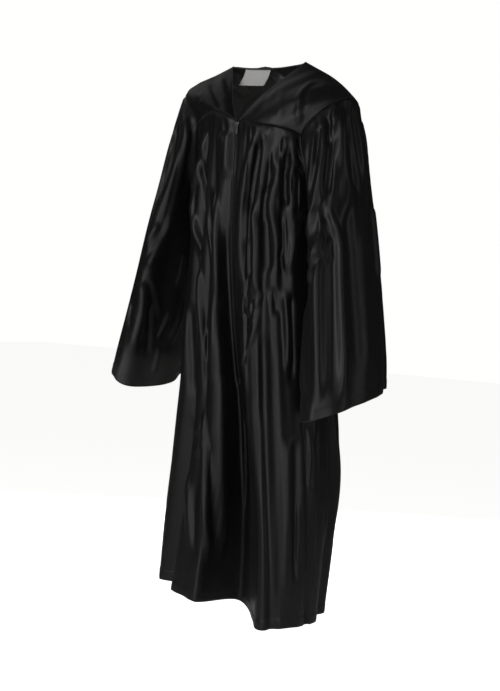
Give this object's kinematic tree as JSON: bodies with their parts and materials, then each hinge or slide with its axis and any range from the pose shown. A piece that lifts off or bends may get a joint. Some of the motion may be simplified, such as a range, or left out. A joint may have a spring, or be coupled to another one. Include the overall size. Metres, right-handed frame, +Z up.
{
  "type": "choir robe",
  "caption": "Long black satin choir robe with yokes, gathered panels, bell sleeves and a front zip, in the hollow shape it has when worn.",
  "frame": {"origin": "midway between the two points where the shoulder seams meet the neck, where the wearer's shoulders hold the robe up", "axes": "+Z up, the front faces -Y, and +X is the wearer's left"},
  "size_m": [0.632, 0.3622, 1.2162],
  "materials": {
    "front_yoke_right_satin": "black polyester satin, soft sheen",
    "front_yoke_left_satin": "black polyester satin, soft sheen",
    "back_yoke_satin": "black polyester satin, soft sheen",
    "front_panel_right_satin": "black polyester satin, soft sheen",
    "front_panel_left_satin": "black polyester satin, soft sheen",
    "back_panel_satin": "black polyester satin, soft sheen",
    "sleeve_right_satin": "black polyester satin, soft sheen",
    "sleeve_left_satin": "black polyester satin, soft sheen",
    "zip_tape_right_weave": "matt woven tape",
    "zip_tape_left_weave": "matt woven tape",
    "zip_slider_metal": "dull nickel plate",
    "pull_tab_metal": "dull nickel plate",
    "label_weave": "plain woven label"
  },
  "bodies": {
    "robe": {"front_yoke_right": "front_yoke_right_satin", "front_yoke_left": "front_yoke_left_satin", "back_yoke": "back_yoke_satin", "front_panel_right": "front_panel_right_satin", "front_panel_left": "front_panel_left_satin", "back_panel": "back_panel_satin", "sleeve_right": "sleeve_right_satin", "sleeve_left": "sleeve_left_satin", "zip_tape_right": "zip_tape_right_weave", "zip_tape_left": "zip_tape_left_weave", "zip_slider": "zip_slider_metal", "label": "label_weave"},
    "pull_tab": {"pull_tab": "pull_tab_metal"}
  },
  "joints": [
    {"name": "pull_tab_hinge", "type": "hinge", "parent": "robe", "child": "pull_tab", "pos_m": [0, -0.10458, -0.1466], "axis": [-1, 0, 0], "range_deg": [0, 150]}
  ]
}
